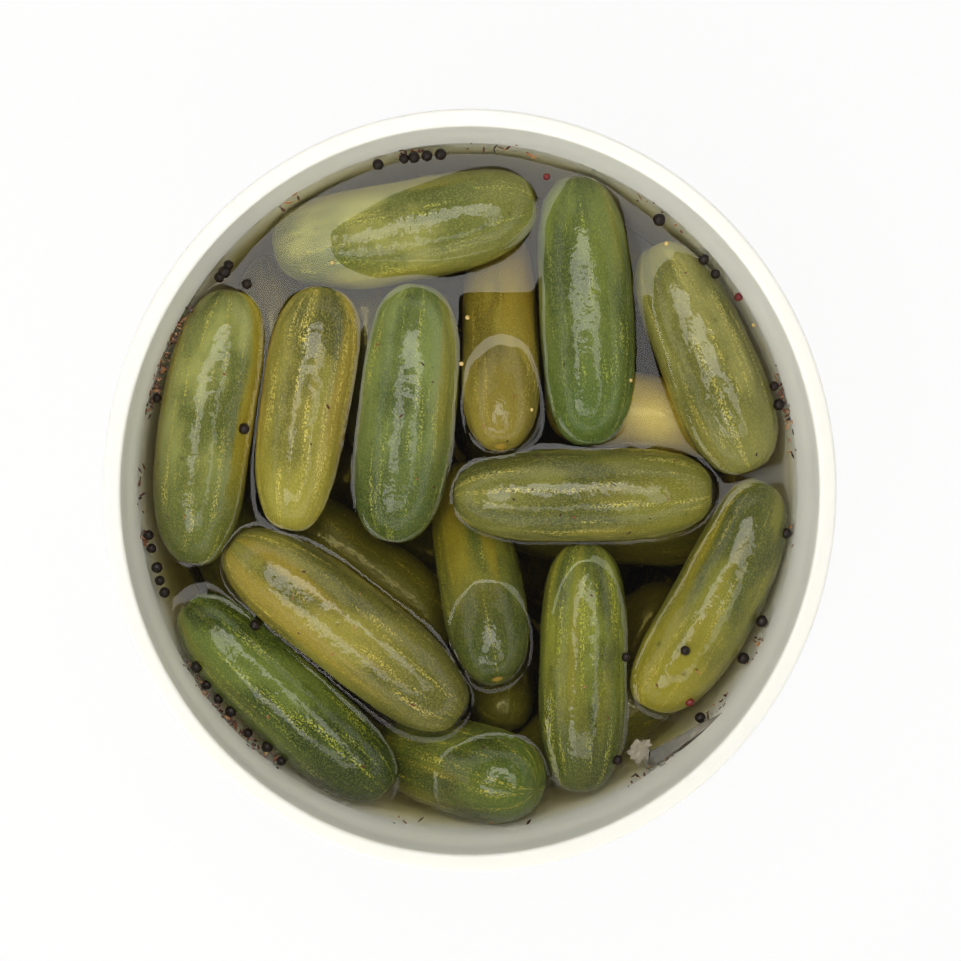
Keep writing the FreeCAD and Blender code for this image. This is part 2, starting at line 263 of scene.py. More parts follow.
    film = add_node(tree, "ShaderNodeTexNoise", {"Vector": skin_place, "Scale": 1 / FILM_GRAIN,
                                                 "Detail": 2.5, "Roughness": 0.5})
    lie = add_node(tree, "ShaderNodeBump", {"Height": film.outputs["Fac"], "Strength": 0.4,
                                            "Distance": 0.9 * MM})
    grain = add_node(tree, "ShaderNodeBump", {"Height": shown.outputs[0], "Strength": 0.5,
                                              "Distance": 0.2 * MM, "Normal": lie.outputs["Normal"]})
    wet = add_node(tree, "ShaderNodeBsdfPrincipled", {
        "Base Color": scarred.outputs["Result"], "Roughness": 0.35, "IOR": 1.18,
        "Coat Weight": 1.0, "Coat Roughness": 0.03, "Coat IOR": 1.38, "Coat Normal": lie.outputs["Normal"],
        "Subsurface Weight": 0.12, "Subsurface Radius": (0.9, 1.0, 0.25), "Subsurface Scale": 2 * MM,
        "Normal": grain.outputs["Normal"]})
    output(tree, wet.outputs["BSDF"])
    return material


def piece_from(draft, name):
    """Turn a draft mesh into a piece of that name, and let the draft go."""
    mesh = bpy.data.meshes.new(name)
    draft.to_mesh(mesh)
    draft.free()
    piece = bpy.data.objects.new(name, mesh)
    bpy.context.collection.objects.link(piece)
    return piece


def points(mesh):
    spots = np.empty(len(mesh.vertices) * 3)
    mesh.vertices.foreach_get("co", spots)
    return spots.reshape(-1, 3)


def reach(mesh, middle, axis):
    """How far a mesh goes from its middle along an axis."""
    return float(np.abs((points(mesh) - np.array(middle)) @ np.array(axis)).max())


def own_frame(mesh, heading):
    """The middle of a pickle, and its axes: tail to head, to its left, and up."""
    spots = points(mesh)
    middle = spots.mean(axis=0)
    _, _, axes = np.linalg.svd(spots[::7] - middle, full_matrices=False)
    turn = math.radians(heading)
    along = Vector(axes[0])
    if along.dot(Vector((math.cos(turn), math.sin(turn), 0))) < 0:
        along.negate()
    left = Vector((0, 0, 1)).cross(along).normalized()
    return Vector(middle), along, left, along.cross(left)


def remesh(piece, voxel):
    """Redraw a piece's mesh in even quads, then smooth out the steps."""
    even = piece.modifiers.new("even", "REMESH")
    even.mode = "VOXEL"
    even.voxel_size = voxel
    smooth = piece.modifiers.new("smooth", "SMOOTH")
    smooth.iterations = 4
    smooth.factor = 0.5
    graph = bpy.context.evaluated_depsgraph_get()
    mesh = bpy.data.meshes.new_from_object(piece.evaluated_get(graph))
    piece.modifiers.clear()
    piece.data = mesh


def shape_skin(mesh, frame_of, look, seed):
    """Raise a pickle's ribs, facets, dents and warts, and note where its paint goes."""
    middle, along, left, up = frame_of
    chance = random.Random(seed)
    offsets = points(mesh) - np.array(middle)
    u, v, w = offsets @ np.array(along), offsets @ np.array(left), offsets @ np.array(up)
    half = np.abs(u).max()
    turn = np.arctan2(w, v)
    radius = np.hypot(v, w)

    def waves(long, round_it):
        """Smooth unevenness with a grain so long along the pickle and so wide round it."""
        shift = seed * 31.0
        return np.array([noise.noise(Vector((a / long + shift, b / round_it, c / round_it)))
                         for a, b, c in zip(u, v, w)])

    share = np.clip(1 - (u / half) ** 4, 0, 1)
    facet = chance.uniform(0, 2 * math.pi)
    ribs = chance.choice((9, 10, 11))
    dents = 0.34 * MM * waves(17 * MM, 14 * MM) + 0.13 * MM * waves(7 * MM, 6 * MM)
    facets = 0.16 * MM * share * np.cos(3 * turn + facet + u / (40 * MM))
    ribbing = 0.07 * MM * share * np.cos(ribs * turn + 2.5 * waves(30 * MM, 20 * MM))
    crinkles = look["crinkle"] * 0.22 * MM * waves(9 * MM, 2.4 * MM)
    rise = dents + facets + ribbing + crinkles
    pits = np.zeros(len(u))
    for _ in range(WARTS):
        at, bearing = chance.uniform(-0.85, 0.85) * half, chance.uniform(-math.pi, math.pi)
        wide, high = chance.uniform(0.9, 1.6) * MM, chance.uniform(-0.12, 0.26) * MM
        round_it = (turn - bearing + math.pi) % (2 * math.pi) - math.pi
        far = np.hypot(u - at, round_it * radius)
        rise += high * np.exp(-1.6 * (far / wide) ** 2)
        if chance.random() < 0.45:
            core = np.exp(-2.6 * (far / wide) ** 2)
            rise -= 0.12 * MM * core
            pits = np.maximum(pits, chance.uniform(0.3, 0.8) * core)
    facing = np.empty(len(u) * 3)
    mesh.vertices.foreach_get("normal", facing)
    moved = points(mesh) + facing.reshape(-1, 3) * np.minimum(rise, HIGHEST)[:, None]
    mesh.vertices.foreach_set("co", moved.ravel())

    scar_end = chance.choice((-1, 1))
    scar = np.clip((2.6 * MM - radius) / (0.8 * MM), 0, 1) * (u * scar_end > 0.8 * half) * 0.8
    for name, values in (("wart", pits), ("scar", scar)):
        made = mesh.attributes.new(name, "FLOAT", "POINT")
        made.data.foreach_set("value", values)
    made = mesh.attributes.new("skin", "FLOAT_VECTOR", "POINT")
    wrapped = np.stack([u, GIRTH_RADIUS * np.cos(turn), GIRTH_RADIUS * np.sin(turn)], axis=1)
    made.data.foreach_set("vector", wrapped.ravel())
    mesh.polygons.foreach_set("use_smooth", [True] * len(mesh.polygons))
    mesh.update()


floating = []
for seed, (node, look) in enumerate(FLOATING.items(), 1):
    draft = bmesh.new()
    draft.from_mesh(nodes[node].data)
    bmesh.ops.remove_doubles(draft, verts=draft.verts, dist=0.002 * MM)
    pickle = piece_from(draft, f"{node}_skin")
    remesh(pickle, GRID)
    shape_skin(pickle.data, own_frame(pickle.data, look["heading"]), look, seed)
    finish_in(pickle, pickle_skin(f"cured_gherkin_skin_{seed:02d}", look, seed))
    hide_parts(node)
    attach(pickle, "root")
    floating.append(pickle)


# ------------------------------------------------------------------ sunken pickles
# More gherkins fill the tub below the floating ones, and a pale ripe one.  The
# others have colours darker than a real skin's, as painted shade for the dim gaps
# where little light gets in.  They show only in the gaps, dulled by the brine, so
# they are simpler and lie where they can between their neighbours, the wall and
# the floor.

SUNKEN_GAP = 1.0 * MM
ROUNDS = 160                  # of pushing them apart
YIELD = 0.6                   # the share of an overlap that a round takes away
TAPER = 3.2 * MM              # how far the wall comes in below the brine's top
BLUNTNESS = 3.4               # 2 is an ellipse, and more is blunter
WRAP_STEP = 0.31              # metres between two skins' places in the pattern

# The ones that show: middle x, y and depth under the brine, heading, pitch,
# length and girth, all in millimetres and degrees.  Earlier ones hold their place.
SEEN_BELOW = [
    (-97, 72, 50, -80, 4, 92, 36),
    (-47, 60, 50, -84, 4, 94, 36),
    (-42, -38, 45, -38, 0, 100, 35),
    (77, 31, 47, -8, 3, 84, 37),
    (66, -20, 49, -2, 2, 108, 35),
    (8, -88, 62, -80, 62, 92, 36),
    (-98, -40, 52, 112, 4, 86, 36),
    (68, -84, 66, 56, 8, 92, 35),
    (16, 50, 60, 82, 6, 96, 35),
    (-48, -108, 54, -30, 6, 92, 37),
    (86, -112, 58, 32, 6, 84, 35),
    (-110, 22, 58, 88, 4, 84, 36),
    (-6, -40, 76, -14, 14, 84, 34),
    (50, 104, 56, -20, 6, 96, 37),
]

# Layers below them, as a depth and a count: most lie in a ring along the wall,
# the last few in the middle.
LOWER_LAYERS = [(84 * MM, 13), (124 * MM, 13)]
IN_THE_MIDDLE = 3
OUTER_RING = 92 * MM
INNER_RING = 30 * MM



class Lie:
    """How a pickle lies: its middle, its way, half its straight part, and its radius."""

    def __init__(self, middle, along, straight, thick):
        self.middle, self.along, self.straight, self.thick = middle, along, straight, thick

    def nearest(self, other):
        """The nearest points of the straight parts of this one and another."""
        across = self.middle - other.middle
        bent = self.along.dot(other.along)
        lean, tilt = self.along.dot(across), other.along.dot(across)
        spread = max(1 - bent * bent, 1e-6)
        first = max(-self.straight, min(self.straight, (bent * tilt - lean) / spread))
        second = max(-other.straight, min(other.straight, bent * first + tilt))
        first = max(-self.straight, min(self.straight, bent * second - lean))
        return self.middle + self.along * first, other.middle + other.along * second

    def give_way(self, other):
        """Move away from another where the two overlap."""
        reach_of_both = self.straight + self.thick + other.straight + other.thick
        if (self.middle - other.middle).length > reach_of_both:
            return
        first, second = self.nearest(other)
        apart = first - second
        deep = self.thick + other.thick + SUNKEN_GAP - apart.length
        if deep > 0:
            self.middle += apart.normalized() * deep * YIELD

    def stay_inside(self):
        """Move in from the wall and up from the floor, one end after the other."""
        for end in (-1, 1):
            tip = self.middle + self.along * self.straight * end
            out = math.hypot(tip.x / (inside_x - self.thick), tip.y / (inside_y - self.thick))
            if out > 1:
                self.middle.x -= tip.x * (1 - 1 / out)
                self.middle.y -= tip.y * (1 - 1 / out)
            bottom = brine_low.z + self.thick + SUNKEN_GAP
            if tip.z < bottom:
                self.middle.z += bottom - tip.z


chance = random.Random(20)
floaters = []
for pickle, look in zip(floating, FLOATING.values()):
    middle, along, left, up = own_frame(pickle.data, look["heading"])
    half = reach(pickle.data, middle, along)
    thick = reach(pickle.data, middle, left)
    floaters.append(Lie(middle, along, half - thick, thick))
sunken = []
for x, y, depth, heading, pitch, long, girth in SEEN_BELOW:
    turn, tip = math.radians(heading), math.radians(pitch)
    along = Vector((math.cos(turn) * math.cos(tip), math.sin(turn) * math.cos(tip), math.sin(tip)))
    middle = Vector((x * MM, y * MM, level - depth * MM))
    sunken.append(Lie(middle, along, (long - girth) / 2 * MM, girth / 2 * MM))
for depth, count in LOWER_LAYERS:
    for number in range(count):
        turn = 2 * math.pi * number / (count - IN_THE_MIDDLE)
        ring = OUTER_RING if number < count - IN_THE_MIDDLE else INNER_RING
        heading = turn + math.pi / 2 + chance.uniform(-0.5, 0.5)
        middle = Vector((ring * math.cos(turn), ring * math.sin(turn), level - depth))
        along = Vector((math.cos(heading), math.sin(heading), chance.uniform(-0.1, 0.1))).normalized()
        straight = chance.uniform(29, 35) * MM
        sunken.append(Lie(middle, along, straight, chance.uniform(17.5, 19.5) * MM))

inside_x = (brine_high.x - brine_low.x) / 2 - TAPER
inside_y = (brine_high.y - brine_low.y) / 2 - TAPER
for _ in range(ROUNDS):
    for index, one in enumerate(sunken):
        for other in floaters + sunken[:index]:
            one.give_way(other)
        one.stay_inside()

# One round ball, whose points are then laid on each of them: its height is the
# place along the pickle, and the profile is how thick a blunt one is there.
ball = bmesh.new()
bmesh.ops.create_uvsphere(ball, u_segments=44, v_segments=44, radius=1.0)
bmesh.ops.recalc_face_normals(ball, faces=ball.faces)
template = bpy.data.meshes.new("sunken_template")
ball.to_mesh(template)
ball.free()
ball_points = points(template)
ball_place = np.clip(ball_points[:, 2], -1, 1)
ball_turn = np.arctan2(ball_points[:, 1], ball_points[:, 0])
ball_profile = np.sqrt(np.clip(1 - np.abs(ball_place) ** BLUNTNESS, 0, 1))


def sink(name, lies, look):
    """Make some of the sunken pickles, as one piece in one skin."""
    heap = bmesh.new()
    for index, lie in enumerate(lies):
        left = Vector((0, 0, 1)).cross(lie.along).normalized()
        up = lie.along.cross(left)
        bow, facet = chance.uniform(-2.5, 2.5) * MM, chance.uniform(0, 2 * math.pi)
        radius = lie.thick * ball_profile * (1 + 0.02 * np.cos(3 * ball_turn + facet))
        u = ball_place * (lie.straight + lie.thick)
        v = radius * np.cos(ball_turn) + bow * (1 - ball_place ** 2)
        w = radius * np.sin(ball_turn)
        swell = np.array([1 + 0.03 * noise.noise(Vector((a, b, c)) / (14 * MM) + Vector((index * 7, 0, 0)))
                          for a, b, c in zip(u, v, w)])
        spots = (np.array(lie.middle) + np.outer(u, lie.along) + np.outer(v * swell, left)
                 + np.outer(w * swell, up))
        one = template.copy()
        one.vertices.foreach_set("co", spots.ravel())
        skin = one.attributes.new("skin", "FLOAT_VECTOR", "POINT")
        wrapped = np.stack([u + index * WRAP_STEP, GIRTH_RADIUS * np.cos(ball_turn),
                            GIRTH_RADIUS * np.sin(ball_turn)], axis=1)
        skin.data.foreach_set("vector", wrapped.ravel())
        heap.from_mesh(one)
        bpy.data.meshes.remove(one)
    for face in heap.faces:
        face.smooth = True
    piece = piece_from(heap, name)
    finish_in(piece, pickle_skin(f"{name}_skin", look, len(lies)))
    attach(piece, "root")


PALE = 3                      # the one that was cured ripe, and is far paler
# Painted shade: these colours are darker than the sunken skins' own, and stand in for the shade in the gaps
# between the floating pickles.
dull = dict(deep="#3E421A", pale="#56522A", belly="#5C5020", flecks="#8A8038", yellowness=0.45,
            streaks=0.5, toe="#4A4C1E")
bright = dict(deep="#C6B45E", pale="#D6C878", belly="#CDB966", flecks="#E8DFA4", yellowness=0.5,
              streaks=0.5, toe="#CDBE6C")
sink("sunken_pickles", sunken[:PALE] + sunken[PALE + 1:], dull)
sink("sunken_pale_pickle", sunken[PALE:PALE + 1], bright)


# ------------------------------------------------------------------ spices
# What the pickles were cured with floats out to the wall: black peppercorns,
# mustard seeds, flakes of dried chilli and dill stalk, a slip of garlic and
# a few red berries.  All of it is whole or broken seed and leaf, loose and wet.

rim_x = (brine_high.x - brine_low.x) / 2
rim_y = (brine_high.y - brine_low.y) / 2


def at_wall(bearing, off):
    """A place on the brine at a bearing in degrees, so far in from the wall."""
    turn = math.radians(bearing)
    return Vector(((rim_x - off) * math.cos(turn), (rim_y - off) * math.sin(turn), level))


skins = []
graph = bpy.context.evaluated_depsgraph_get()
for pickle in floating:
    corners = points(pickle.data)
    skins.append((BVHTree.FromObject(pickle, graph), corners.min(axis=0), corners.max(axis=0)))


def skin_height(x, y):
    """The top of the pickles at a place, or None where there is only brine."""
    top, facing = None, None
    for surface_of, low, high in skins:
        if low[0] < x < high[0] and low[1] < y < high[1]:
            hit, normal, _, _ = surface_of.ray_cast(Vector((x, y, rim)), Vector((0, 0, -1)))
            if hit is not None and (top is None or hit.z > top):
                top, facing = hit.z, normal
    return top, facing


# Peppercorns: runs along the wall, as bearings and a count, then single ones.
PEPPER_RUNS = [(13, 19, 2), (39, 44, 2), (53, 54, 1), (94, 103, 4), (106, 107, 1), (137, 142, 3),
               (163, 165, 1), (187, 199, 5), (210, 235, 7), (316, 317, 1), (329, 330, 1),
               (336, 337, 1), (352, 353, 1)]
PEPPER_ALONE = [(-95, 26), (-91, -57), (67, -72), (90.5, -67.5), (63.5, -116.5), (-94, 87)]

peppercorns = bmesh.new()
centres = []
for first, last, count in PEPPER_RUNS:
    for number in range(count):
        bearing = first + (last - first) * (number + chance.uniform(0.2, 0.8)) / count
        size = chance.uniform(2.1, 2.8) * MM
        centres.append((at_wall(bearing, size + chance.uniform(0.3, 1.6) * MM), size))
for x, y in PEPPER_ALONE:
    centres.append((Vector((x * MM, y * MM, level)), chance.uniform(2.1, 2.5) * MM))
for centre, size in centres:
    top, facing = skin_height(centre.x, centre.y)
    if top is not None and top > level - size:
        centre = centre + Vector((0, 0, top - level + 0.75 * size))
    made = bmesh.ops.create_icosphere(peppercorns, subdivisions=3, radius=size)["verts"]
    seed = chance.uniform(0, 900)
    for vertex in made:
        spot = vertex.co / (1.1 * MM) + Vector((seed, 0, 0))
        wrinkle = 1 - 0.16 * abs(noise.noise(spot)) + 0.05 * noise.noise(spot * 2.3)
        vertex.co = centre + vertex.co * wrinkle
for face in peppercorns.faces:
    face.smooth = True
pepper = piece_from(peppercorns, "peppercorns")

# Nearly black brown with a wrinkled grain; wet, so each has one small sharp glint.
husk, tree = new_material("black_peppercorn_husk")
place = add_node(tree, "ShaderNodeTexCoord").outputs["Object"]
mottle = add_node(tree, "ShaderNodeTexNoise", {"Vector": place, "Scale": 1 / (1.5 * MM), "Detail": 4.0})
husk_colour = add_node(tree, "ShaderNodeMix", data_type="RGBA")
mix_colours(tree, husk_colour, mottle.outputs["Fac"], "#0A0807", "#2A1C15")
husk_grain = add_node(tree, "ShaderNodeBump", {"Height": mottle.outputs["Fac"], "Strength": 0.4,
                                               "Distance": 0.3 * MM})
husk_shell = add_node(tree, "ShaderNodeBsdfPrincipled", {
    "Base Color": husk_colour.outputs["Result"], "Roughness": 0.28, "IOR": 1.36,
    "Normal": husk_grain.outputs["Normal"]})
output(tree, husk_shell.outputs["BSDF"])
finish_in(pepper, husk)
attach(pepper, "root")


# Flakes of dried chilli and dill stalk, washed into drifts along the wall, as
# bearings and a count; a few lie on the pickles or stick to the wall above.
FLAKE_RUNS = [(146, 171, 90), (172, 186, 10), (186, 191, 16), (208, 236, 80), (5, 24, 36),
              (-62, -34, 64), (-32, -20, 10), (-12, -6, 5), (98, 104, 12), (76, 92, 12),
              (119, 127, 6), (48, 62, 7), (245, 290, 6)]
FLAKES_ON_SKINS = 46
STUCK_TO_WALL = 0.22          # the share of a drift that clings above the brine
FLAKE_THICK = 0.28 * MM


def lay_flake(flakes, tint_layer, spot, facing, long, wide):
    """A curled chip of dry skin lying at a spot."""
    made = bmesh.ops.create_cone(flakes, cap_ends=True, segments=6, radius1=0.5, radius2=0.42,
                                 depth=1.0)["verts"]
    spin = Matrix.Rotation(chance.uniform(0, 2 * math.pi), 4, "Z")
    tip = Matrix.Rotation(chance.uniform(-0.35, 0.35), 4, "X")
    turn = facing.to_track_quat("Z", "Y").to_matrix().to_4x4()
    size = Matrix.Diagonal((long, wide, FLAKE_THICK, 1))
    tint = chance.random()
    for vertex in made:
        vertex.co.x *= chance.uniform(0.7, 1.25)
        vertex.co.y *= chance.uniform(0.6, 1.2)
        vertex[tint_layer] = tint
        vertex.co = spot + turn @ spin @ tip @ size @ vertex.co


drift = bmesh.new()
tint_layer = drift.verts.layers.float.new("tint")
up_axis = Vector((0, 0, 1))
for first, last, count in FLAKE_RUNS:
    for _ in range(count):
        bearing = chance.triangular(first, last, (first + last) / 2)
        long = chance.triangular(0.7, 4.6, 1.2) * MM
        wide = min(long, chance.uniform(0.5, 1.4) * MM)
        if chance.random() < STUCK_TO_WALL:
            spot = at_wall(bearing, -0.05 * MM) + Vector((0, 0, chance.triangular(1.0, 6.0, 1.3) * MM))
            facing = Vector((-spot.x, -spot.y, 0)).normalized()
        else:
            spot = at_wall(bearing, chance.triangular(0.2, 3.6, 0.9) * MM)
            top, tilt = skin_height(spot.x, spot.y)
            facing = up_axis
            spot.z += 0.7 * MM
            if top is not None and top > level:
                spot.z, facing = top + 0.05 * MM, tilt
        lay_flake(drift, tint_layer, spot, facing, long, wide)
left_over = FLAKES_ON_SKINS
while left_over:
    spot = at_wall(chance.uniform(0, 360), chance.uniform(6, 130) * MM)
    top, tilt = skin_height(spot.x, spot.y)
    if top is not None and top > level + 1 * MM:
        spot.z = top + 0.05 * MM
        long = chance.uniform(0.8, 3.6) * MM
        wide = chance.uniform(0.6, 1.3) * MM
        lay_flake(drift, tint_layer, spot, tilt, long, wide)
        left_over -= 1
flakes = piece_from(drift, "chilli_flakes")

# Chips from nearly black through brick red to straw, each in one shade, damp and
# half dull, so that a drift of them looks speckled.
husks, tree = new_material("dried_chilli_and_dill")
tint = add_node(tree, "ShaderNodeAttribute", attribute_name="tint").outputs["Fac"]
shade = add_node(tree, "ShaderNodeValToRGB", {"Fac": tint})
shade.color_ramp.interpolation = "LINEAR"
shade.color_ramp.elements[0].color = linear("#1C0E08")
shade.color_ramp.elements[1].color = linear("#B07A48")
middle_stop = shade.color_ramp.elements.new(0.55)
middle_stop.color = linear("#5C2C15")
dry = add_node(tree, "ShaderNodeBsdfPrincipled", {"Base Color": shade.outputs["Color"],
                                                  "Roughness": 0.35, "IOR": 1.45})
output(tree, dry.outputs["BSDF"])
finish_in(flakes, husks)
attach(flakes, "root")


# Mustard seeds and red pepper berries: where they float, and their radius.
SEEDS = [(-1, 73, 1.0), (-3.6, 53.5, 1.0), (83.5, 104.5, 1.0), (68.5, 46.5, 0.9), (-87, -112, 0.9),
         (26, 34, 0.8), (-58, 96, 0.9), (121, 70, 0.8)]
BERRIES = [(114.5, 82, 1.8), (32.5, 132.5, 1.5), (94, -91, 1.9)]


def float_balls(name, spots, hex_dark, hex_light):
    """Small round seeds half sunk in the brine or lying on a skin, as one piece."""
    seeds = bmesh.new()
    for x, y, radius in spots:
        centre = Vector((x * MM, y * MM, level + 0.25 * radius * MM))
        top, _ = skin_height(centre.x, centre.y)
        if top is not None and top > level:
            centre.z = top + 0.5 * radius * MM
        made = bmesh.ops.create_icosphere(seeds, subdivisions=3, radius=radius * MM)["verts"]
        for vertex in made:
            dent = 1 + 0.07 * noise.noise(vertex.co / (0.9 * MM) + Vector((x, y, 0)))
            vertex.co = centre + vertex.co * dent
    for face in seeds.faces:
        face.smooth = True
    piece = piece_from(seeds, name)
    # A smooth thin coat, faintly mottled, with the small round glint of a wet bead.
    coat, tree = new_material(f"{name}_coat")
    place = add_node(tree, "ShaderNodeTexCoord").outputs["Object"]
    mottle = add_node(tree, "ShaderNodeTexNoise", {"Vector": place, "Scale": 1 / (1.2 * MM), "Detail": 2.0})
    colour = add_node(tree, "ShaderNodeMix", data_type="RGBA")
    mix_colours(tree, colour, mottle.outputs["Fac"], hex_dark, hex_light)
    shell = add_node(tree, "ShaderNodeBsdfPrincipled", {"Base Color": colour.outputs["Result"],
                                                        "Roughness": 0.25, "IOR": 1.45})
    output(tree, shell.outputs["BSDF"])
    finish_in(piece, coat)
    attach(piece, "root")


float_balls("mustard_seeds", SEEDS, "#B98E3C", "#E2CE92")
float_balls("red_berries", BERRIES, "#3E0C0F", "#8A2A28")


# A slip of garlic, thin, torn and half clear, lying on the brine by the wall.
GARLIC_PLACE = (73 * MM, -112 * MM, level + 0.3 * MM)
GARLIC_THICK = 0.6 * MM

slip = bmesh.new()
bmesh.ops.create_grid(slip, x_segments=22, y_segments=16, size=1.0)
for vertex in slip.verts:
    across, down = vertex.co.x, vertex.co.y
    ragged = 1 + 0.5 * noise.noise(Vector((across * 1.9, down * 1.9, 3.0)))
    round_off = 1 - 0.28 * (abs(across * down) ** 1.5)
    vertex.co = Vector((across * 5.6 * ragged * round_off, down * 3.9 * ragged * round_off,
                        0.9 * across * across + 0.5 * noise.noise(Vector((across * 2, down * 2, 0))))) * MM
bmesh.ops.recalc_face_normals(slip, faces=slip.faces)
bmesh.ops.solidify(slip, geom=list(slip.faces), thickness=GARLIC_THICK)
bmesh.ops.transform(slip, verts=list(slip.verts), matrix=Matrix.Translation(GARLIC_PLACE)
                    @ Matrix.Rotation(math.radians(38), 4, "Z"))
bmesh.ops.recalc_face_normals(slip, faces=slip.faces)
for face in slip.faces:
    face.smooth = True
garlic = piece_from(slip, "garlic_slip")

# Soaked garlic is milky and lets half the light through, so it looks pale and soft.
soaked, tree = new_material("brine_soaked_garlic")
place = add_node(tree, "ShaderNodeTexCoord").outputs["Object"]
fibres = add_node(tree, "ShaderNodeTexNoise", {"Vector": place, "Scale": 1 / (2.2 * MM), "Detail": 3.0})
flesh_colour = add_node(tree, "ShaderNodeMix", data_type="RGBA")
mix_colours(tree, flesh_colour, fibres.outputs["Fac"], "#A99E88", "#CFC6B2")
flesh = add_node(tree, "ShaderNodeBsdfPrincipled", {
    "Base Color": flesh_colour.outputs["Result"], "Roughness": 0.25, "IOR": 1.4,
    "Transmission Weight": 0.55, "Subsurface Weight": 0.4, "Subsurface Radius": (1.0, 0.9, 0.7),
    "Subsurface Scale": 1.5 * MM})
output(tree, flesh.outputs["BSDF"])
finish_in(garlic, soaked)
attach(garlic, "root")


# ------------------------------------------------------------------ brine
# Salt water and vinegar, tinted olive by the pickles' juice, poured over them.
# It is flat but for the small ramps that it draws up against skins and wall.

SURFACE_GRID = 1.0 * MM
CAPILLARY = 2.1 * MM          # how far a ramp reaches from what it clings to
CLING = 1.7 * MM              # how high it climbs on a pickle
WALL_RISE = 1.0 * MM
UNDER_SKIN = 0.25 * MM        # it ends just inside what it wets
INTO_WALL = 0.8 * MM
INTO_FLOOR = 0.5 * MM
FOOT_IN = 3.45 * MM           # how much narrower it is at the floor, at its short side
SETTLING = 500                # rounds in which the ramps find their shape
GRID_ENDS = 0.9985            # the share of the way out to the wall

half_x = rim_x + INTO_WALL
half_y = rim_y + INTO_WALL
columns = round(2 * half_x / SURFACE_GRID)
rows = round(2 * half_y / SURFACE_GRID)

surface = bmesh.new()
bmesh.ops.create_grid(surface, x_segments=columns, y_segments=rows, size=1.0,
                      matrix=Matrix.Diagonal((half_x, half_y, 1, 1)))
outside = [v for v in surface.verts if math.hypot(v.co.x / half_x, v.co.y / half_y) > GRID_ENDS]
bmesh.ops.delete(surface, geom=outside, context="VERTS")
stray = [v for v in surface.verts if len(v.link_faces) == 0]
bmesh.ops.delete(surface, geom=stray, context="VERTS")
surface.verts.ensure_lookup_table()
across = np.array([round((v.co.x / half_x + 1) / 2 * columns) for v in surface.verts])
down = np.array([round((v.co.y / half_y + 1) / 2 * rows) for v in surface.verts])
at_shore = np.array([v.is_boundary for v in surface.verts])

# Each spot's height is drawn towards its neighbours' and sags towards the flat
# level, but what it wets holds it up.
pushed = np.full((columns + 1, rows + 1), -1.0)
for vertex, column, row in zip(surface.verts, across, down):
    top, _ = skin_height(vertex.co.x, vertex.co.y)
    if top is not None:
        pushed[column, row] = min(top - level - UNDER_SKIN, CLING)
height = np.zeros_like(pushed)
height[across, down] = np.maximum(0, pushed[across, down])
fixed = np.ones_like(pushed, dtype=bool)
fixed[across[~at_shore], down[~at_shore]] = False
height[across[at_shore], down[at_shore]] = WALL_RISE
weight = 4 + (SURFACE_GRID / CAPILLARY) ** 2
for _ in range(SETTLING):
    around = np.zeros_like(height)
    around[1:-1, 1:-1] = (height[2:, 1:-1] + height[:-2, 1:-1] + height[1:-1, 2:]
                          + height[1:-1, :-2]) / weight
    height = np.where(fixed, height, np.maximum(pushed, around))
for vertex, column, row in zip(surface.verts, across, down):
    vertex.co.z = level + height[column, row]

shore = [v for v in surface.verts if v.is_boundary]
for vertex in shore:
    out = math.hypot(vertex.co.x / half_x, vertex.co.y / half_y)
    vertex.co.x /= out
    vertex.co.y /= out
edge = [e for e in surface.edges if e.is_boundary]
skirt = bmesh.ops.extrude_edge_only(surface, edges=edge)["geom"]
lower = [v for v in skirt if isinstance(v, bmesh.types.BMVert)]
foot_share = 1 - FOOT_IN / rim_x
for vertex in lower:
    vertex.co.x *= foot_share
    vertex.co.y *= foot_share
    vertex.co.z = brine_low.z - INTO_FLOOR
bmesh.ops.contextual_create(surface, geom=lower + [e for e in surface.edges if e.is_boundary])
bmesh.ops.recalc_face_normals(surface, faces=surface.faces)
for face in surface.faces:
    face.smooth = len(face.verts) == 4 and abs(face.normal.z) > 0.2
pool = piece_from(surface, "brine_pool")

# Clear and quite still, so it mirrors the lamps as flat milky sheets.  What lies
# in it goes olive and then brown with depth, as the juice takes the blue first.
liquid, tree = new_material("pickling_brine")
clear = add_node(tree, "ShaderNodeBsdfPrincipled", {
    "Base Color": (1, 1, 1, 1), "Roughness": 0.0, "IOR": 1.35, "Transmission Weight": 1.0})
lit_through = add_node(tree, "ShaderNodeBsdfTransparent", {"Color": (0.96, 0.96, 0.96, 1)})
ray = add_node(tree, "ShaderNodeLightPath")
chosen = add_node(tree, "ShaderNodeMixShader", {0: ray.outputs["Is Shadow Ray"],
                                                1: clear.outputs["BSDF"],
                                                2: lit_through.outputs["BSDF"]})
juice = add_node(tree, "ShaderNodeVolumeAbsorption", {"Color": (0.84, 0.775, 0.305, 1), "Density": 30.0})
output(tree, chosen.outputs["Shader"], juice.outputs["Volume"])
finish_in(pool, liquid)
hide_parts("brine")
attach(pool, "root")


# ------------------------------------------------------------------ floor and light
# A white paper sweep under six soft boxes that hang level with it, one large
# behind the tub and smaller ones round it, in a room with a big window to
# the front left; the ceiling between the boxes is dim.

floor = bmesh.new()
bmesh.ops.create_grid(floor, x_segments=1, y_segments=1, size=3.0)
ground = piece_from(floor, "floor")


def shown_white(tree):
    """The rays that show the white of the room itself: to the eye, in gloss and through clear things."""
    ray = add_node(tree, "ShaderNodeLightPath")
    either = add_node(tree, "ShaderNodeMath", {0: ray.outputs["Is Camera Ray"],
                                               1: ray.outputs["Is Glossy Ray"]}, operation="MAXIMUM")
    any_of = add_node(tree, "ShaderNodeMath", {0: either.outputs[0],
                                               1: ray.outputs["Is Transmission Ray"]},
                      operation="MAXIMUM")
    return any_of.outputs[0]


SHOWN_SHARE = 0.88            # of the paper's look that is plain white, and not lit

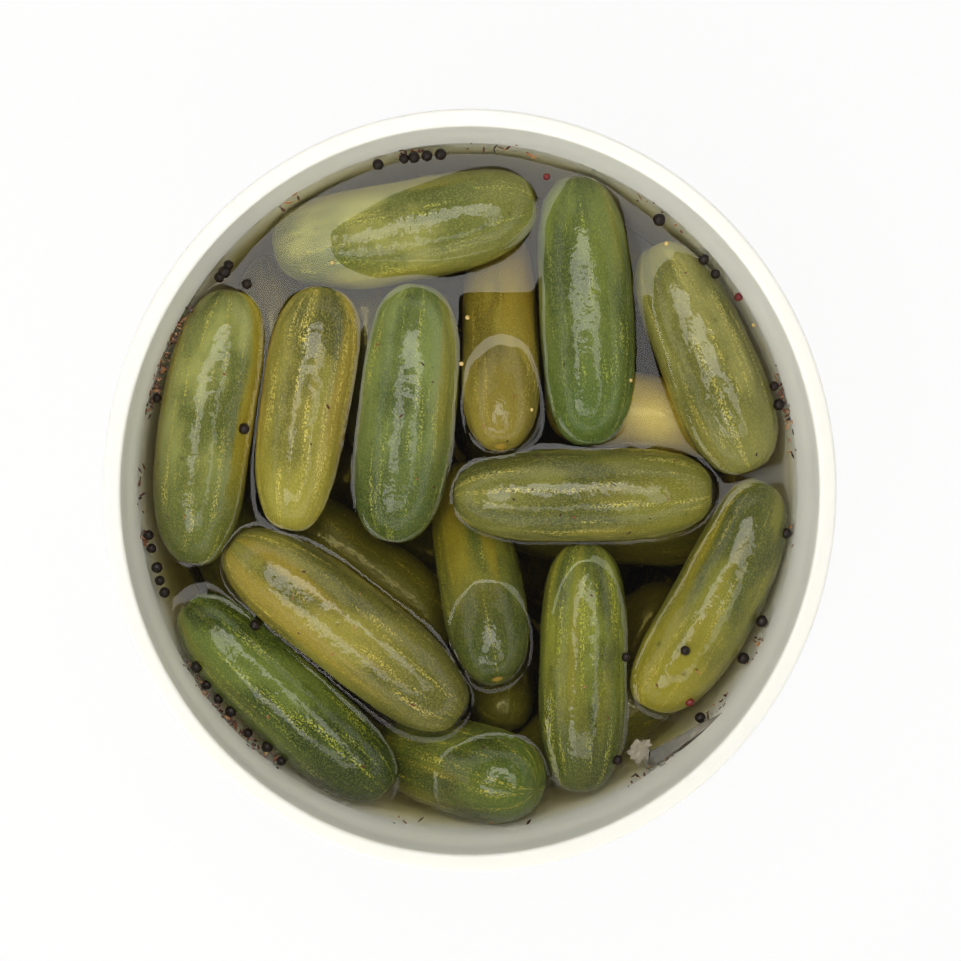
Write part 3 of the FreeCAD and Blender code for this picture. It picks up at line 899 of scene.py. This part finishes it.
# Matt white paper: it takes a soft shadow and shows no gloss.
paper, tree = new_material("white_paper_sweep")
matte = add_node(tree, "ShaderNodeBsdfDiffuse", {"Color": linear("#F2F2F2")})
plain = add_node(tree, "ShaderNodeEmission", {"Color": (1, 1, 1, 1), "Strength": 1.0})
share = add_node(tree, "ShaderNodeMath", {0: shown_white(tree), 1: SHOWN_SHARE}, operation="MULTIPLY")
sweep = add_node(tree, "ShaderNodeMixShader", {0: share.outputs[0], 1: matte.outputs["BSDF"],
                                               2: plain.outputs["Emission"]})
output(tree, sweep.outputs["Shader"])
finish_in(ground, paper)


# Heights above the brine and places in metres; the window is a direction.
LAMP_HEIGHT = 0.9
LAMP_WARMTH = (1.0, 0.985, 0.95)
CEILING_HEIGHT = 1.1
CEILING_RADIUS = 1.6
WINDOW = (-0.4, -0.9, 0.0)


def soft_box(name, x, y, wide, deep, radiance):
    """A lamp panel level with the floor, as bright from wherever it is seen."""
    lamp = bpy.data.lights.new(name, "AREA")
    lamp.shape = "RECTANGLE"
    lamp.size = wide
    lamp.size_y = deep
    lamp.energy = radiance * math.pi * wide * deep
    lamp.color = LAMP_WARMTH
    made = bpy.data.objects.new(name, lamp)
    made.location = (x, y, level + LAMP_HEIGHT)
    bpy.context.collection.objects.link(made)


soft_box("back_box", -0.05, 0.35, 0.54, 0.40, 4.9)
soft_box("right_box", 0.32, 0.11, 0.30, 0.32, 3.5)
soft_box("far_right_box", 0.46, -0.22, 0.26, 0.34, 2.3)
soft_box("left_box", -0.38, 0.09, 0.28, 0.42, 4.0)
soft_box("front_box", 0.02, -0.54, 0.60, 0.28, 2.3)
soft_box("near_left_box", -0.52, -0.52, 0.46, 0.46, 3.9)

# The room: white where it is seen, in gloss or through clear things; as a light
# it is brighter towards the horizon and the window than overhead.
world = bpy.data.worlds.new("white_room")
bpy.context.scene.world = world
world.use_nodes = True
tree = world.node_tree
tree.nodes.clear()
toward = add_node(tree, "ShaderNodeTexCoord").outputs["Generated"]
high = add_node(tree, "ShaderNodeSeparateXYZ", {"Vector": toward}).outputs["Z"]
low_light = add_node(tree, "ShaderNodeMapRange", {"Value": high, "From Min": 0.0, "From Max": 1.0,
                                                  "To Min": 0.8, "To Max": 0.0})
to_window = add_node(tree, "ShaderNodeVectorMath", {0: toward, 1: WINDOW},
                     operation="DOT_PRODUCT")
window_light = add_node(tree, "ShaderNodeMapRange", {"Value": to_window.outputs["Value"],
                                                     "From Min": 0.0, "From Max": 1.0,
                                                     "To Min": 0.0, "To Max": 1.0})
strength = add_node(tree, "ShaderNodeMath", {0: low_light.outputs["Result"],
                                             1: window_light.outputs["Result"]}, operation="ADD")
fill = add_node(tree, "ShaderNodeBackground", {"Color": (1, 1, 1, 1), "Strength": strength.outputs[0]})
backdrop = add_node(tree, "ShaderNodeBackground", {"Color": (1, 1, 1, 1), "Strength": 1.0})
room = add_node(tree, "ShaderNodeMixShader", {0: shown_white(tree), 1: fill.outputs["Background"],
                                              2: backdrop.outputs["Background"]})
add_node(tree, "ShaderNodeOutputWorld", {"Surface": room.outputs["Shader"]})

# The ceiling behind the lamps, which only gloss sees.
hood = bmesh.new()
bmesh.ops.create_circle(hood, cap_ends=True, segments=64, radius=CEILING_RADIUS)
for vertex in hood.verts:
    vertex.co.z = level + CEILING_HEIGHT
ceiling = piece_from(hood, "dim_ceiling")
ceiling.visible_camera = False
ceiling.visible_diffuse = False
ceiling.visible_shadow = False
ceiling.visible_transmission = False
ceiling.visible_volume_scatter = False
# An even dark grey: the eye meets it only as the tone of gloss between the lamps.
paint, tree = new_material("dim_ceiling_paint")
dim = add_node(tree, "ShaderNodeEmission", {"Color": (1, 1, 1, 1), "Strength": 0.12})
output(tree, dim.outputs["Emission"])
finish_in(ceiling, paint)
bpy.context.scene.view_settings.view_transform = "Standard"
